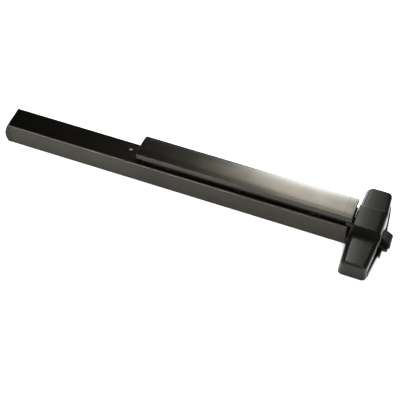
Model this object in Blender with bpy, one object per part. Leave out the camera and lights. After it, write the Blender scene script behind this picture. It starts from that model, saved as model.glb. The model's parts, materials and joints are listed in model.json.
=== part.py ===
"""Panic exit bar with a rim latch, lying on its back as it would on the face of a door.

Frame: the origin is the centre of the head's back face, on the door plane (Z = 0).
+X runs along the bar towards the latch, +Y up the door and +Z out of the door.
Sizes here are in millimetres, and new_object turns them into Blender's metres.
An outline is a list of (u, v) points: (y, z) across X, (x, z) across Y and (x, y) across Z.
"""

import math

import bmesh
import bpy
from mathutils import Matrix, Vector

MM = 0.001
GAP = 0.3  # between pieces that touch on the real bar

# Mechanism case
CASE_WIDTH = 57.15
CASE_DEPTH = 57.15
CASE_LEFT = -829.0
CASE_RIGHT = -37.3
CASE_WALL = 2.2
CASE_CORNER = 5.5  # radius of the front corners
LIP_WIDTH = 7.5  # front lip on each side of the cover plate
LIP_THICK = 2.2
LEDGE_WIDTH = 3.0  # under the cover plate's edges
LEDGE_THICK = 1.7
COVER_THICK = 1.8
COVER_RIGHT = -508.0
FLOOR = CASE_WALL + GAP  # where brackets stand inside the case
SHEET = 2.0  # thickness of their sheet
BRACKET_HALF = 25.5
SCREW_HOLE = 3.2
FILLER_LOW = 58.0  # the filler stands out of the case between these two heights
FILLER_TOP = 68.5

# Hinge-side end cap
CAP_EDGE = -833.2  # front edge of the cap
CAP_NOSE = -844.0  # furthest point of its bulge
CAP_NOSE_Z = 21.0
CAP_WALL = 2.4
CAP_RIM = 1.6
CAP_SEAT = 4.4  # radius of the screw's sunk seat

# Push pad
PAD_LEFT = -515.0
PAD_RIGHT = -29.4
PAD_CAP = 18.0
PAD_CROWN_Z = 97.0
PAD_EDGE_Z = 91.3
PAD_SKIRT_Z = 78.0
PAD_SKIN = 2.2
PAD_TRAVEL = 19.0
PAD_EDGE = 1.2  # the crown starts this far in from the side
SKIRT_LIP = 6.0
SKIRT_ROUND = 1.6
CLEARANCE_LOW = 88.2  # the latch-side cap is open below this, to pass over the filler

# Rail, cranks and rod
RAIL_LEFT = -506.5
RAIL_RIGHT = -46.0
WEB_INSIDE = 15.0
WEB_THICK = 2.5
WEB_LOW = 56.0
EAR_LOW = 35.0
PIVOT_Z = 30.0
PIVOTS = {"hinge": -455.0, "latch": -120.0}
CRANK_REACH = 32.7  # pivot to the rail pin, along X
ROD_RISE = 19.5  # pivot to the rod pin, along Z
CRANK_SWING = math.atan((PAD_TRAVEL / 2) / CRANK_REACH)  # half of the crank's swing
ROD_TRAVEL = 2 * ROD_RISE * math.tan(CRANK_SWING)
ROD_Z = PIVOT_Z + ROD_RISE
PIN_RADIUS = 2.75
PIVOT_RADIUS = 3.0
NOTCH = 3.1  # half width of the notch that a pin slides in

# Dogging
DOG_X = -544.0
DOG_Y = 8.0
DOG_REACH = 18.0
KEY_HOLE = 4.8
HOOK_LOW = 34.7
CATCH_LOW = 50.0

# Head
HEAD_HALF = 106.5
HEAD_SKIN = 2.0
MIDDLE_HALF = 28.6
MIDDLE_Z = 75.0
TAPER_END = 93.0  # the lobes narrow from the middle to here
MIDDLE_TOP = (27.0, 35.5)  # its front's reach to the left and to the right
LOBE_Z = (50.0, 46.0)  # this pair and the next four: beside the middle, and at a lobe's end
BASE_LEFT = (35.5, 31.0)
BASE_RIGHT = (40.0, 32.5)
LOBE_TOP_LEFT = (23.5, 19.5)
SHOULDER_LEFT = (31.5, 28.0)
SHOULDER_ROUND = 4.0
SHOULDER_Z = 37.0  # a lobe's left wall stands nearly upright to here, and leans in above
LOBE_TOP_RIGHT = (35.0, 28.5)
EDGE_LEFT = 3.0  # radius of the cover's front edge on the case side
EDGE_RIGHT = (9.0, 14.0)  # and on the latch side, on the lobes and on the middle
END_ROUND = 9.0  # rounding of a lobe's end in plan
END_DROP = 4.5  # and in side view
FLANGE = 2.0  # thickness of the chassis flange on the latch side
FLANGE_Z = 16.0
FLANGE_HALF = 93.0  # half of its length
CHASSIS_THICK = 3.0
LEVER_X = -8.0
LEVER_Z = 69.5
LEVER_ROD = 20.8
LEVER_SWING = math.asin((ROD_TRAVEL / 2) / LEVER_ROD)
LEVER_BOLT = 33.2
BOLT_TIP = 57.0
BOLT_HALF = 12.3
DEAD_TIP = 54.0
DEAD_Y = (-22.5, -15.0)
HOUSING_LEFT = -30.5
SPRING_SEAT = -28.4

# Screws and the rod's return spring
END_SCREWS = [(-810, 14), (-810, -14)]
HEAD_SCREWS = {
    "upper_left": (-14.0, 84.0),
    "upper_right": (14.0, 84.0),
    "lower_left": (-14.0, -84.0),
    "lower_right": (14.0, -84.0),
}
COVER_SCREW_Z = 12.0
SPRING_LEFT = -290.0
SPRING_RIGHT = -248.0
ROD_CENTRE = (5.1, ROD_Z + 0.5)  # the rod's middle, as (y, z)


# --- scene and materials -----------------------------------------------------


def clear_scene():
    for obj in list(bpy.data.objects):
        bpy.data.objects.remove(obj, do_unlink=True)


def finish(name, colour, metallic, roughness):
    material = bpy.data.materials.new(name)
    material.use_nodes = True
    shader = material.node_tree.nodes["Principled BSDF"]
    shader.inputs["Base Color"].default_value = (*colour, 1.0)
    shader.inputs["Metallic"].default_value = metallic
    shader.inputs["Roughness"].default_value = roughness
    return material


def make_finishes():
    return {
        "bronze": finish("bronze_anodised", (0.035, 0.030, 0.025), 0.6, 0.38),
        "paint": finish("bronze_paint", (0.022, 0.020, 0.017), 0.2, 0.35),
        "black": finish("black_steel", (0.008, 0.008, 0.008), 0.4, 0.45),
        "zinc": finish("zinc_plated_steel", (0.45, 0.45, 0.43), 1.0, 0.35),
        "steel": finish("bright_steel", (0.50, 0.50, 0.50), 1.0, 0.25),
        "rubber": finish("black_rubber", (0.012, 0.012, 0.012), 0.0, 0.8),
    }


def make_empties(places):
    """One empty for each moving body, on its joint's axis."""
    empties = {}
    for body, place in places.items():
        empty = bpy.data.objects.new(body + "_axis", None)
        empty.location = Vector(place) * MM
        bpy.context.scene.collection.objects.link(empty)
        empties[body] = empty
    return empties


# --- outlines ----------------------------------------------------------------


def circle(u, v, radius, steps=20):
    turns = [2 * math.pi * i / steps for i in range(steps)]
    return [(u + radius * math.cos(t), v + radius * math.sin(t)) for t in turns]


def rectangle(u0, v0, u1, v1):
    return [(u0, v0), (u1, v0), (u1, v1), (u0, v1)]


def mirrored(half):
    """A half outline at u > 0, closed by its mirror image."""
    return half + [(-u, v) for u, v in reversed(half)]


def rounded(points, radii, steps=3):
    """The outline with each corner replaced by an arc of its own radius."""
    out = []
    for i, point in enumerate(points):
        radius = radii[i] if isinstance(radii, (list, tuple)) else radii
        if radius == 0:
            out.append(point)
            continue
        corner = Vector(point)
        before = (Vector(points[i - 1]) - corner).normalized()
        after = (Vector(points[(i + 1) % len(points)]) - corner).normalized()
        half = before.angle(after) / 2
        centre = corner + (before + after).normalized() * radius / math.sin(half)
        reach = radius / math.tan(half)
        start = corner + before * reach - centre
        turn = start.angle_signed(corner + after * reach - centre)
        for k in range(steps + 1):
            spoke = Matrix.Rotation(-turn * k / steps, 2) @ start
            out.append(tuple(centre + spoke))
    return out


def arc(centre, radius, start, stop, steps):
    """Points on an arc, its angles in degrees."""
    out = []
    for k in range(steps + 1):
        angle = math.radians(start + (stop - start) * k / steps)
        out.append((centre[0] + radius * math.cos(angle), centre[1] + radius * math.sin(angle)))
    return out


def turned_about(points, centre, angle):
    """The outline turned by an angle in radians, from +u towards +v."""
    spin = Matrix.Rotation(angle, 2)
    return [tuple(Vector(centre) + spin @ (Vector(p) - Vector(centre))) for p in points]


# --- solids ------------------------------------------------------------------


def place(axis, u, v, w):
    return {"X": (w, u, v), "Y": (u, w, v), "Z": (u, v, w)}[axis]


def outward(bm):
    bmesh.ops.recalc_face_normals(bm, faces=bm.faces)
    return bm


def prism(outline, axis, low, high):
    """The outline extruded along an axis from low to high."""
    bm = bmesh.new()
    face = bm.faces.new([bm.verts.new(place(axis, u, v, low)) for u, v in outline])
    made = bmesh.ops.extrude_face_region(bm, geom=[face])
    moved = [item for item in made["geom"] if isinstance(item, bmesh.types.BMVert)]
    bmesh.ops.translate(bm, verts=moved, vec=place(axis, 0, 0, high - low))
    return outward(bm)


def box(low, high):
    return prism(rectangle(low[0], low[1], high[0], high[1]), "Z", low[2], high[2])


def loft(rings):
    """A closed solid through rings that all have the same number of points."""
    bm = bmesh.new()
    loops = [[bm.verts.new(point) for point in ring] for ring in rings]
    for one, two in zip(loops, loops[1:]):
        for i in range(len(one)):
            bm.faces.new((one[i - 1], one[i], two[i], two[i - 1]))
    bm.faces.new(loops[0])
    bm.faces.new(loops[-1])
    bent = [face for face in bm.faces if len(face.verts) == 4]
    bmesh.ops.triangulate(bm, faces=bent)
    return outward(bm)


def turned(profile, axis, u, v, steps=20):
    """A turned solid: the profile is (distance along the axis, radius) from end to end."""
    rings = []
    for along, radius in profile:
        rings.append([place(axis, *point, along) for point in circle(u, v, radius, steps)])
    return loft(rings)


def rod(axis, u, v, radius, low, high, steps=20):
    return turned([(low, radius), (high, radius)], axis, u, v, steps)


def bevelled(bm, width, wanted, segments=2):
    """Bevels the edges whose two ends pass the test."""
    edges = [e for e in bm.edges if all(wanted(vert.co) for vert in e.verts)]
    bmesh.ops.bevel(bm, geom=edges, offset=width, segments=segments, affect="EDGES", profile=0.5)
    return outward(bm)


def new_object(name, bm):
    bmesh.ops.scale(bm, vec=(MM, MM, MM), verts=bm.verts)
    mesh = bpy.data.meshes.new(name)
    bm.to_mesh(mesh)
    bm.free()
    obj = bpy.data.objects.new(name, mesh)
    bpy.context.scene.collection.objects.link(obj)
    return obj


def add_boolean(obj, other, operation, number):
    helper = new_object(f"{obj.name}_{operation.lower()}_{number}", other)
    helper.hide_render = True
    helper.display_type = "WIRE"
    modifier = obj.modifiers.new(helper.name, "BOOLEAN")
    modifier.operation = operation
    modifier.solver = "EXACT"
    modifier.object = helper
    return helper


def piece(name, material, base, joins=(), within=(), cuts=(), body=None):
    """One sub-part: a base solid, with solids joined to it, kept within others and then cut by others."""
    obj = new_object(name, base)
    obj.data.materials.append(material)
    obj.data.shade_smooth()
    obj.data.set_sharp_from_angle(angle=math.radians(35))
    helpers = [add_boolean(obj, other, "UNION", i) for i, other in enumerate(joins)]
    helpers += [add_boolean(obj, other, "INTERSECT", i) for i, other in enumerate(within)]
    helpers += [add_boolean(obj, other, "DIFFERENCE", i) for i, other in enumerate(cuts)]
    if body:
        for item in (obj, *helpers):
            item.parent = body
            item.location = -body.location
    return obj


def coil(name, material, axis, u, v, radius, wire, low, high, turns, body=None):
    """A compression spring: a wire bent into a helix from low to high."""
    steps = 10
    curve = bpy.data.curves.new(name, "CURVE")
    curve.dimensions = "3D"
    curve.bevel_depth = wire * MM
    curve.bevel_resolution = 1
    curve.use_fill_caps = True
    spline = curve.splines.new("POLY")
    spline.points.add(turns * steps)
    for i, point in enumerate(spline.points):
        angle = 2 * math.pi * i / steps
        share = i / (turns * steps)
        along = low + wire + (high - low - 2 * wire) * share
        spot = place(axis, u + radius * math.cos(angle), v + radius * math.sin(angle), along)
        point.co = (*(Vector(spot) * MM), 1.0)
    obj = bpy.data.objects.new(name, curve)
    bpy.context.scene.collection.objects.link(obj)
    curve.materials.append(material)
    if body:
        obj.parent = body
        obj.location = -body.location
    return obj


# --- the case and what closes it ---------------------------------------------


def case_outline():
    half = CASE_WIDTH / 2
    inner = half - CASE_WALL
    lip = half - LIP_WIDTH
    ledge = lip - LEDGE_WIDTH
    under = CASE_DEPTH - LIP_THICK
    points = [
        (half, 0),
        (half, CASE_DEPTH),
        (lip, CASE_DEPTH),
        (lip, under),
        (ledge, under),
        (ledge, under - LEDGE_THICK),
        (inner, under - LEDGE_THICK),
        (inner, CASE_WALL),
    ]
    radii = [1.0, CASE_CORNER, 0.4, 0, 0, 0, 0, 0]
    return rounded(mirrored(points), [*radii, *reversed(radii)])


def make_case(mats):
    holes = [rod("Z", x, y, SCREW_HOLE, -1, 8) for x, y in END_SCREWS]
    piece("mechanism_case", mats["bronze"], prism(case_outline(), "X", CASE_LEFT, CASE_RIGHT), cuts=holes)


def make_cover_plate(mats):
    half = CASE_WIDTH / 2 - LIP_WIDTH - GAP
    low = CASE_DEPTH - LIP_THICK + GAP
    outline = rounded(rectangle(-half, low, half, low + COVER_THICK), [0, 0, 0.4, 0.4], 2)
    plate = prism(outline, "X", CASE_LEFT + GAP, COVER_RIGHT)
    keyhole = rod("Z", DOG_X, DOG_Y, KEY_HOLE, 50, 60, 24)
    piece("cover_plate", mats["bronze"], plate, cuts=[keyhole])


def make_filler(mats):
    """Closes the case front between the rail's end and the head."""
    half = CASE_WIDTH / 2 - LIP_WIDTH - LEDGE_WIDTH - GAP
    left = CASE_RIGHT - 4.7
    foot = prism(rectangle(left, FILLER_LOW - 2.4, CASE_RIGHT, FILLER_LOW), "Y", -half, half)
    top = [
        (left, FILLER_LOW - 0.4),
        (cover_left(FILLER_LOW) - 0.7, FILLER_LOW - 0.4),
        (cover_left(FILLER_TOP) - 0.7, FILLER_TOP),
        (left, FILLER_TOP),
    ]
    block = prism(rounded(top, [0, 0, 0.8, 0.8]), "Y", -23.4, 23.4)
    piece("latch_side_filler", mats["paint"], block, joins=[foot])


def end_cap_outline(inset):
    """The cap's side view: a bulging nose, deepest near the door."""
    top = (CAP_EDGE + inset, CASE_DEPTH - inset)
    nose = (CAP_NOSE + inset, CAP_NOSE_Z)
    foot = (CAP_NOSE + 4.5 + inset, 0.3 + inset)
    points = [(CASE_LEFT - GAP + (0 if inset == 0 else 5), 0.3 + inset)]
    points.append((points[0][0], CASE_DEPTH - inset))
    steps = 6
    for k in range(steps + 1):
        share = k / steps
        lean = math.sin(share * math.pi / 2)
        points.append((top[0] + (nose[0] - top[0]) * lean, top[1] + (nose[1] - top[1]) * share))
    for k in range(1, 5):
        share = k / 4
        lean = 1 - math.cos(share * math.pi / 2)
        points.append((nose[0] + (foot[0] - nose[0]) * lean, nose[1] + (foot[1] - nose[1]) * share))
    return points


def make_end_cap(mats):
    half = CASE_WIDTH / 2
    shell = prism(end_cap_outline(0), "Y", -half, half)
    seam = CASE_LEFT - GAP - 0.1
    shell = bevelled(shell, CAP_RIM, lambda co: abs(abs(co.y) - half) < 0.01 and co.x < seam and co.z > 0.5)
    hollow = prism(end_cap_outline(CAP_WALL), "Y", CAP_WALL - half, half - CAP_WALL)
    seat = rod("X", 0, CAP_NOSE_Z, CAP_SEAT, -850, CAP_NOSE + 2.2)
    hole = rod("X", 0, CAP_NOSE_Z, 2.6, -850, -830)
    section = rounded(rectangle(-half, 0, half, CASE_DEPTH), [0, 0, CASE_CORNER, CASE_CORNER], 5)
    envelope = prism(section, "X", CAP_NOSE - 1, CASE_LEFT)
    piece("end_cap", mats["paint"], shell, within=[envelope], cuts=[hollow, seat, hole])


def make_end_bracket(mats):
    base = box((CASE_LEFT + 2, -BRACKET_HALF, FLOOR), (-798, BRACKET_HALF, FLOOR + SHEET))
    upright = box((CASE_LEFT + 2, -18, FLOOR + 0.5), (CASE_LEFT + 4.5, 18, 40))
    holes = [rod("Z", x, y, SCREW_HOLE, -1, 8) for x, y in END_SCREWS]
    holes.append(rod("X", 0, CAP_NOSE_Z, 2.5, CASE_LEFT, CASE_LEFT + 8))
    piece("end_bracket", mats["zinc"], base, joins=[upright], cuts=holes)


def pan_screw(axis, u, v, seat, tip, head, shank, way):
    """A pan-head screw with a hexagon socket: seat is under the head, which faces way * axis."""
    high = 0.5 * head * way
    profile = [
        (tip, shank * 0.7),
        (tip + shank * 0.5 * way, shank),
        (seat, shank),
        (seat, head),
        (seat + high * 0.6, head),
        (seat + high, head * 0.62),
    ]
    socket = circle(u, v, head * 0.42, 6)
    ends = sorted((seat + high * 0.35, seat + high * 2))
    return turned(profile, axis, u, v, 16), prism(socket, axis, *ends)


def make_screw(name, material, axis, u, v, seat, tip, head, shank, way, body=None):
    solid, socket = pan_screw(axis, u, v, seat, tip, head, shank, way)
    piece(name, material, solid, cuts=[socket], body=body)


def make_end_screws(mats):
    seat = FLOOR + SHEET + GAP
    for (x, y), name in zip(END_SCREWS, ("upper", "lower")):
        make_screw(f"end_mount_screw_{name}", mats["zinc"], "Z", x, y, seat, GAP, 5.2, 2.5, 1)
    make_screw("end_cap_screw", mats["black"], "X", 0, CAP_NOSE_Z, CAP_NOSE + 1.9, -818, 3.9, 2.1, -1)


# --- the push pad and its rail -----------------------------------------------


def pad_outline(inset, low):
    """Half of the pad's crowned section, moved in by inset and open below low."""
    half = CASE_WIDTH / 2
    chord = half - PAD_EDGE
    rise = PAD_CROWN_Z - PAD_EDGE_Z
    radius = (chord**2 + rise**2) / (2 * rise)
    centre = (0, PAD_CROWN_Z - radius)
    edge = math.degrees(math.asin(chord / radius))
    crown = arc(centre, radius - inset, 90 - edge * (half - inset) / half, 90, 8)
    return [(half - inset, low), (half - inset, PAD_EDGE_Z - PAD_EDGE - inset * 0.6), *crown]


def make_push_pad(mats, body):
    half = CASE_WIDTH / 2
    lip = half - SKIRT_LIP
    outside = pad_outline(0, PAD_SKIRT_Z + 2.0)
    inside = pad_outline(PAD_SKIN, PAD_SKIRT_Z + PAD_SKIN)
    rolled = [(lip, PAD_SKIRT_Z + PAD_SKIN), (lip, PAD_SKIRT_Z), (half - SKIRT_ROUND, PAD_SKIRT_Z)]
    side = [*reversed(inside), *rolled, *outside]
    outline = side[:-1] + [(-u, v) for u, v in reversed(side[1:])]
    skin = prism(outline, "X", PAD_LEFT + PAD_CAP + GAP, PAD_RIGHT - PAD_CAP - GAP)
    piece("push_pad", mats["bronze"], skin, body=body)


def pad_cap(mats, name, closed, seam, wall_low, body):
    """A hollow end cap: closed is its end face, seam is where it meets the pad."""
    way = 1 if seam > closed else -1
    half = CASE_WIDTH / 2
    outer = pad_outline(0, PAD_SKIRT_Z + 2.0)
    outer = [(half - SKIRT_ROUND, PAD_SKIRT_Z), *outer]
    outline = outer + [(-u, v) for u, v in reversed(outer[:-1])]
    shell = prism(outline, "X", *sorted((closed, seam)))
    shell = bevelled(shell, 1.4, lambda co: abs(co.x - closed) < 0.01 and co.z > PAD_SKIRT_Z + 1)
    inner = pad_outline(PAD_SKIN, PAD_SKIRT_Z - 2)
    inner_outline = inner + [(-u, v) for u, v in reversed(inner[:-1])]
    hollow = prism(inner_outline, "X", *sorted((closed + way * 3, seam + way * 2)))
    cuts = [hollow]
    if wall_low > PAD_SKIRT_Z:
        span = half - PAD_SKIN
        ends = sorted((closed - way * 2, closed + way * 4))
        cuts.append(box((ends[0], -span, PAD_SKIRT_Z - 2), (ends[1], span, wall_low)))
    piece(name, mats["bronze"], shell, cuts=cuts, body=body)


def make_pad_caps(mats, body):
    pad_cap(mats, "pad_end_cap_hinge", PAD_LEFT, PAD_LEFT + PAD_CAP, PAD_SKIRT_Z, body)
    pad_cap(mats, "pad_end_cap_latch", PAD_RIGHT, PAD_RIGHT - PAD_CAP, CLEARANCE_LOW, body)


def rail_pin_x(side):
    return PIVOTS[side] - CRANK_REACH


def rail_pin_z():
    return PIVOT_Z + PAD_TRAVEL / 2


def make_push_rail(mats, body):
    """A hat-section rail: a flange inside the pad, two webs down into the case and an ear at each crank."""
    web = WEB_INSIDE + WEB_THICK
    low = PAD_SKIRT_Z + PAD_SKIN + GAP
    flange = CASE_WIDTH / 2 - PAD_SKIN - GAP
    points = [
        (WEB_INSIDE, low),
        (WEB_INSIDE, WEB_LOW),
        (web, WEB_LOW),
        (web, low),
        (flange, low),
        (flange, low + 2.5),
    ]
    outline = mirrored(points)
    joins = []
    cuts = []
    for side in PIVOTS:
        x = rail_pin_x(side)
        ear = rounded([(x - 15, 60), (x - 15, EAR_LOW), (x + 8, EAR_LOW), (x + 8, 60)], [0, 3, 5, 0])
        for sign in (-1, 1):
            ends = sorted((sign * WEB_INSIDE, sign * web))
            joins.append(prism(ear, "Y", *ends))
            foot = sorted((sign * (web - 0.6), sign * 22.0))
            joins.append(box((x - 10, foot[0], 50.0), (x + 4, foot[1], 52.6)))
        cuts.append(rod("Y", x, rail_pin_z(), PIN_RADIUS + GAP, -30, 30))
    rail = prism(outline, "X", RAIL_LEFT, RAIL_RIGHT)
    piece("push_rail", mats["black"], rail, joins=joins, cuts=cuts, body=body)


def make_rail_pins(mats, body):
    span = WEB_INSIDE + WEB_THICK + 0.8
    for side in PIVOTS:
        pin = rod("Y", rail_pin_x(side), rail_pin_z(), PIN_RADIUS, -span, span, 16)
        piece(f"rail_pin_{side}", mats["steel"], pin, body=body)


def make_bumpers(mats):
    """Rubber stops under the rail's ears at the end of the travel."""
    top = EAR_LOW - PAD_TRAVEL - 0.5
    for side in PIVOTS:
        x = rail_pin_x(side)
        block = box((x - 15, -19, FLOOR), (x - 9, 19, top))
        block = bevelled(block, 1.0, lambda co: co.z > top - 0.01, 1)
        piece(f"rail_bumper_{side}", mats["rubber"], block)


# --- cranks and control rod --------------------------------------------------


def crank_outline(x):
    """Two arms at right angles, each ending in an open notch, turned to the rest position."""
    arm = 6.2
    long_end = CRANK_REACH + 7
    short_end = ROD_RISE + 6
    root = PIN_RADIUS + 0.6
    points = [
        (x - long_end, PIVOT_Z - NOTCH),
        (x - long_end, PIVOT_Z - arm),
        (x + arm, PIVOT_Z - arm),
        (x + arm, PIVOT_Z + short_end),
        (x + NOTCH, PIVOT_Z + short_end),
        (x + NOTCH, PIVOT_Z + ROD_RISE - root),
        (x - NOTCH, PIVOT_Z + ROD_RISE - root),
        (x - NOTCH, PIVOT_Z + short_end),
        (x - arm, PIVOT_Z + short_end),
        (x - arm, PIVOT_Z + arm),
        (x - long_end, PIVOT_Z + arm),
        (x - long_end, PIVOT_Z + NOTCH),
        (x - CRANK_REACH + root, PIVOT_Z + NOTCH),
        (x - CRANK_REACH + root, PIVOT_Z - NOTCH),
    ]
    radii = [1, 1, 5, 1, 1, 2, 2, 1, 1, 5, 1, 1, 2, 2]
    return turned_about(rounded(points, radii), (x, PIVOT_Z), -CRANK_SWING)


def make_cranks(mats, bodies):
    for side, x in PIVOTS.items():
        plate = prism(crank_outline(x), "Y", -3, 3)
        hub = rod("Y", x, PIVOT_Z, 5.8, -9.5, 9.5)
        hole = rod("Y", x, PIVOT_Z, PIVOT_RADIUS + GAP, -20, 20)
        body = bodies[f"bell_crank_{side}"]
        piece(f"bell_crank_{side}", mats["zinc"], plate, joins=[hub], cuts=[hole], body=body)


def make_crank_brackets(mats):
    for side, x in PIVOTS.items():
        base = box((x - 14, -BRACKET_HALF, FLOOR), (x + 14, BRACKET_HALF, FLOOR + SHEET))
        foot = FLOOR + 1
        ear = rounded([(x - 9, foot), (x + 9, foot), (x + 6.5, 37), (x - 6.5, 37)], [0, 0, 5, 5])
        ears = [prism(ear, "Y", *ends) for ends in ((-12.3, -9.8), (9.8, 12.3))]
        hole = rod("Y", x, PIVOT_Z, PIVOT_RADIUS + GAP, -20, 20)
        piece(f"crank_bracket_{side}", mats["zinc"], base, joins=ears, cuts=[hole])
        profile = [(-13.9, 4.3), (-12.6, 4.3), (-12.6, PIVOT_RADIUS), (14.2, PIVOT_RADIUS)]
        pin = turned(profile, "Y", x, PIVOT_Z, 16)
        piece(f"crank_pivot_pin_{side}", mats["steel"], pin)


def rod_pin_x(side):
    return PIVOTS[side] + ROD_TRAVEL / 2


def lever_pin(distance):
    """Where a pin on the retractor lever is at rest, as (x, z)."""
    return (LEVER_X + distance * math.sin(LEVER_SWING), LEVER_Z - distance * math.cos(LEVER_SWING))


def make_control_rod(mats, body):
    end = lever_pin(LEVER_ROD)[0]
    left = rod_pin_x("hinge") - 9
    low = ROD_Z - 4.5
    high = ROD_Z + 5.5
    points = [
        (left, low),
        (end - NOTCH, low),
        (end - NOTCH, high - 2.6),
        (end + NOTCH, high - 2.6),
        (end + NOTCH, low),
        (end + NOTCH + 3, low),
        (end + NOTCH + 3, high),
        (left, high),
    ]
    bar = prism(rounded(points, [3, 0.6, 1, 1, 0.6, 1, 3, 3]), "Y", 3.6, 6.6)
    holes = [rod("Y", rod_pin_x(side), ROD_Z, PIN_RADIUS + GAP, 0, 10) for side in PIVOTS]
    piece("control_rod", mats["zinc"], bar, cuts=holes, body=body)
    for side in PIVOTS:
        pin = turned([(-5, PIN_RADIUS), (7, PIN_RADIUS), (7, 4), (8.4, 4)], "Y", rod_pin_x(side), ROD_Z, 16)
        piece(f"rod_pin_{side}", mats["steel"], pin, body=body)


def window(x0, x1, half_y, half_z):
    y, z = ROD_CENTRE
    return box((x0, y - half_y, z - half_z), (x1, y + half_y, z + half_z))


def make_rod_return(mats, body):
    """A fixed guide, a collar on the rod and the spring between them."""
    foot = box((SPRING_LEFT - 16, -BRACKET_HALF, FLOOR), (SPRING_LEFT, BRACKET_HALF, FLOOR + SHEET))
    post = box((SPRING_LEFT - 3, -9.5, FLOOR + 0.5), (SPRING_LEFT - 0.5, 14, 58.5))
    opening = window(SPRING_LEFT - 6, SPRING_LEFT + 3, 2.1, 5.7)
    piece("rod_guide", mats["zinc"], foot, joins=[post], cuts=[opening])
    collar = rod("X", *ROD_CENTRE, 8.2, SPRING_RIGHT + 0.3, SPRING_RIGHT + 4.3)
    hole = window(SPRING_RIGHT - 3, SPRING_RIGHT + 8, 1.5 + GAP, 5.0 + GAP)
    piece("rod_collar", mats["steel"], collar, cuts=[hole], body=body)
    coil("rod_spring", mats["steel"], "X", *ROD_CENTRE, 7.0, 0.8, SPRING_LEFT, SPRING_RIGHT, 7)


# --- dogging -----------------------------------------------------------------


def make_dogging(mats, dog, rail):
    shaft = [(12, 3), (40.5, 3), (40.5, 5.6), (50.5, 5.6), (51.5, 4.8), (53.5, 4.8)]
    socket = prism(circle(DOG_X, DOG_Y, 2.9, 6), "Z", 46, 56)
    screw = turned(shaft, "Z", DOG_X, DOG_Y)
    piece("dogging_screw", mats["black"], screw, cuts=[socket], body=dog)
    arm = [
        (DOG_X - 7, DOG_Y + 7),
        (DOG_X - 7, DOG_Y - DOG_REACH),
        (DOG_X + 3, DOG_Y - DOG_REACH),
        (DOG_X + 7, DOG_Y - 7),
        (DOG_X + 7, DOG_Y + 7),
    ]
    hook = prism(rounded(arm, [5, 3, 1.5, 3, 5]), "Z", HOOK_LOW, HOOK_LOW + 3.5)
    bore = rod("Z", DOG_X, DOG_Y, PIVOT_RADIUS + GAP, 30, 45)
    piece("dogging_hook", mats["zinc"], hook, cuts=[bore], body=dog)
    base = box((DOG_X - 22, -BRACKET_HALF, FLOOR), (DOG_X + 12, BRACKET_HALF, FLOOR + SHEET))
    post = box((DOG_X - 22, -12, FLOOR + 0.5), (DOG_X - 19.5, 20, 33))
    shelf = box((DOG_X - 21, -4, 29.5), (DOG_X + 9, 20, 32))
    hole = rod("Z", DOG_X, DOG_Y, PIVOT_RADIUS + GAP, 25, 36)
    piece("dogging_bracket", mats["zinc"], base, joins=[post, shelf], cuts=[hole])
    half = WEB_INSIDE - GAP
    plate = rounded(rectangle(-531, -half, -495, half), [4, 0, 0, 4])
    catch = prism(plate, "Z", CATCH_LOW, CATCH_LOW + 3)
    tab = box((-505.5, -half, 52.5), (-503, half, 62))
    notch = rod("Z", -530, DOG_Y - 22, 4, 45, 56)
    piece("dogging_catch", mats["zinc"], catch, joins=[tab], cuts=[notch], body=rail)


# --- the head ----------------------------------------------------------------


def blend(pair, share):
    return pair[0] + (pair[1] - pair[0]) * share


def lobe_share(y):
    """0 beside the raised middle, 1 at the end of a lobe."""
    return min(1.0, max(0.0, (abs(y) - MIDDLE_HALF) / (TAPER_END - MIDDLE_HALF)))


def cover_left(z):
    """Where the cover's left wall is at the raised middle."""
    return -BASE_LEFT[0] - 1.0 + (BASE_LEFT[0] + 1.0 - MIDDLE_TOP[0]) * z / MIDDLE_Z


def cover_section(y, inset):
    """One cross section of the head cover, from its left foot over the top to its right foot.

    inset 0 gives the outer face, and the skin's thickness gives the inner one.
    """
    size = abs(y)
    share = lobe_share(y)
    climb = min(1.0, max(0.0, (MIDDLE_HALF + 0.8 - inset - size) / 2.6))
    middle = climb * climb * (3 - 2 * climb)
    over = min(END_ROUND, max(0.0, size - (HEAD_HALF - inset - END_ROUND)))
    pull = END_ROUND - math.sqrt(END_ROUND**2 - over**2)
    dip = min(END_DROP, max(0.0, over - (END_ROUND - END_DROP)))
    drop = END_DROP - math.sqrt(END_DROP**2 - dip**2)
    left = blend(BASE_LEFT, share) + middle - pull - inset
    right = blend(BASE_RIGHT, share) - FLANGE - GAP - pull - inset
    top = blend((blend(LOBE_Z, share), MIDDLE_Z), middle) - inset - drop
    flat_left = blend((blend(LOBE_TOP_LEFT, share) - 0.8 * pull, MIDDLE_TOP[0]), middle) - inset
    flat_right = blend((blend(LOBE_TOP_RIGHT, share) - pull, MIDDLE_TOP[1]), middle) - inset
    foot = -6.0 if inset else GAP
    shoulder_z = SHOULDER_Z - 0.6 * inset
    straight = blend((left, flat_left), shoulder_z / top)
    shoulder = blend((blend(SHOULDER_LEFT, share) - pull - inset, straight), middle)
    points = [
        (blend((-left, -shoulder), foot / shoulder_z), foot),
        (-shoulder, shoulder_z),
        (-flat_left, top),
        (flat_right, top),
        (blend((right, flat_right), foot / top), foot),
    ]
    outline = rounded(points, [0, SHOULDER_ROUND, EDGE_LEFT, blend(EDGE_RIGHT, middle) - inset, 0], 6)
    crown = 0.8
    centre = (flat_right - flat_left) / 2
    wide = (flat_right + flat_left) / 2
    out = []
    for x, z in outline:
        lift = crown * max(0.0, 1 - ((x - centre) / wide) ** 2) if z > top - 0.5 else 0.0
        out.append((x, y, z + lift))
    return out


def cover_stations(inset):
    end = HEAD_HALF - inset
    ends = [end, end - 0.4, end - 1.4, end - 2.8, end - 4.6, end - END_ROUND]
    lobe = [75.0, 50.0, 34.0]
    rise = [MIDDLE_HALF + 0.8 - inset - 2.6 * k / 6 for k in range(7)]
    half = ends + lobe + rise + [18.0]
    return half + [0.0] + [-y for y in reversed(half)]


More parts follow.
